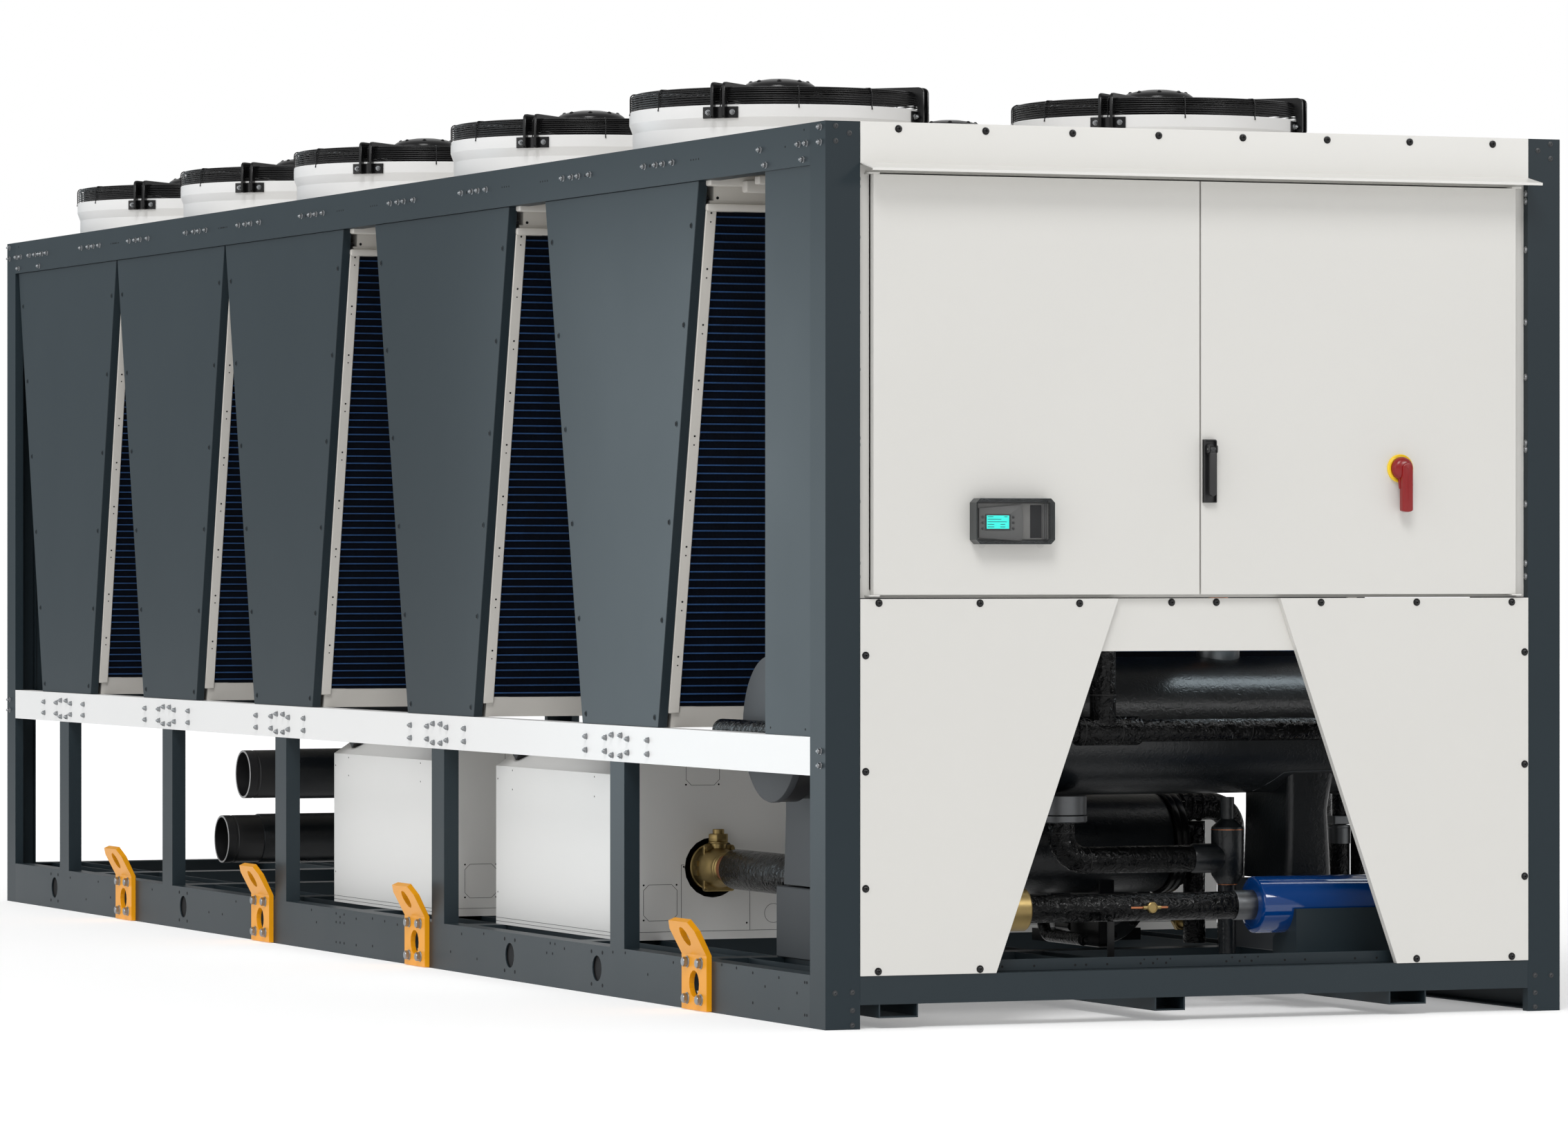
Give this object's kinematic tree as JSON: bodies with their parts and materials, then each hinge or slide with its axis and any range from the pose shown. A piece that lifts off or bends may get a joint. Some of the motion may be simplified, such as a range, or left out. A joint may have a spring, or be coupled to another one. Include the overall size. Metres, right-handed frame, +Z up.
{
  "type": "air-cooled chiller unit",
  "caption": "Air-cooled chiller: V coil modules under axial fans, a control cabinet with hinged doors and machinery on an open steel base",
  "frame": {"origin": "bottom centre of the whole outline, drip lip and lifting lugs included, on the plane the unit stands on", "axes": "+Z up, +Y along the unit away from the cabinet doors, +X to the right seen from the doors"},
  "size_m": [2.382, 8.008, 2.6853],
  "materials": {
    "anthracite_paint": "matt anthracite powder coat with a fine texture",
    "white_paint": "satin white paint, with black coated arms and motors on the fans",
    "coil_frame_paint": "greige painted sheet round dark blue coated fins",
    "cream_paint": "warm off-white powder coat with a fine texture",
    "black_plastic": "black moulded plastic",
    "red_plastic": "red moulded plastic",
    "grey_plastic": "dark grey moulded plastic",
    "insulation_foam": "black elastomeric insulation",
    "blue_enamel": "glossy blue enamel"
  },
  "bodies": {
    "frame": {"corner_post_front_left": "anthracite_paint", "corner_post_front_right": "anthracite_paint", "corner_post_rear_left": "anthracite_paint", "corner_post_rear_right": "anthracite_paint", "side_frame_left": "anthracite_paint", "side_frame_right": "anthracite_paint", "base_frame": "anthracite_paint", "rear_frame": "anthracite_paint", "top_rail_left": "anthracite_paint", "top_rail_right": "anthracite_paint", "closing_panel_left": "anthracite_paint", "closing_panel_right": "anthracite_paint", "v_panel_left_1": "anthracite_paint", "v_panel_left_2": "anthracite_paint", "v_panel_left_3": "anthracite_paint", "v_panel_left_4": "anthracite_paint", "v_panel_left_5": "anthracite_paint", "v_panel_right_1": "anthracite_paint", "v_panel_right_2": "anthracite_paint", "v_panel_right_3": "anthracite_paint", "v_panel_right_4": "anthracite_paint", "v_panel_right_5": "anthracite_paint", "mid_rail_left": "white_paint", "mid_rail_right": "white_paint", "fan_1": "white_paint", "fan_2": "white_paint", "fan_3": "white_paint", "fan_4": "white_paint", "fan_5": "white_paint", "fan_6": "white_paint", "fan_7": "white_paint", "fan_8": "white_paint", "fan_9": "white_paint", "fan_10": "white_paint", "coil_module_1": "coil_frame_paint", "coil_module_2": "coil_frame_paint", "coil_module_3": "coil_frame_paint", "coil_module_4": "coil_frame_paint", "coil_module_5": "coil_frame_paint", "fan_deck": "coil_frame_paint", "cabinet_shell": "cream_paint", "fascia": "cream_paint", "apron_left": "cream_paint", "apron_right": "cream_paint", "apron_header": "cream_paint", "compressor_enclosure_1": "cream_paint", "compressor_enclosure_2": "cream_paint", "refrigerant_vessel": "insulation_foam", "oil_separator": "insulation_foam", "header_line": "insulation_foam", "suction_line": "insulation_foam", "liquid_line": "insulation_foam", "evaporator": "insulation_foam", "filter_drier": "blue_enamel"},
    "door_left": {"door_left": "cream_paint", "display_unit": "grey_plastic"},
    "door_right": {"door_right": "cream_paint"},
    "handle_hub": {"handle_hub": "black_plastic"},
    "handle_lever": {"handle_lever": "black_plastic"},
    "switch_handle": {"switch_handle": "red_plastic"}
  },
  "joints": [
    {"name": "door_left_hinge", "type": "hinge", "parent": "frame", "child": "door_left", "pos_m": [-0.985, -3.92, 1.7475], "axis": [0, 0, -1], "range_deg": [0, 110]},
    {"name": "door_right_hinge", "type": "hinge", "parent": "frame", "child": "door_right", "pos_m": [0.982, -3.92, 1.7475], "axis": [0, 0, 1], "range_deg": [0, 110]},
    {"name": "handle_turn", "type": "hinge", "parent": "door_right", "child": "handle_hub", "pos_m": [0.022, -3.9263, 1.578], "axis": [0, -1, 0], "range_deg": [0, 90]},
    {"name": "lever_swing", "type": "hinge", "parent": "handle_hub", "child": "handle_lever", "pos_m": [0.022, -3.9443, 1.578], "axis": [-1, 0, 0], "range_deg": [0, 40]},
    {"name": "main_switch_turn", "type": "hinge", "parent": "door_right", "child": "switch_handle", "pos_m": [0.615, -3.9283, 1.528], "axis": [0, 1, 0], "range_deg": [0, 90]}
  ]
}
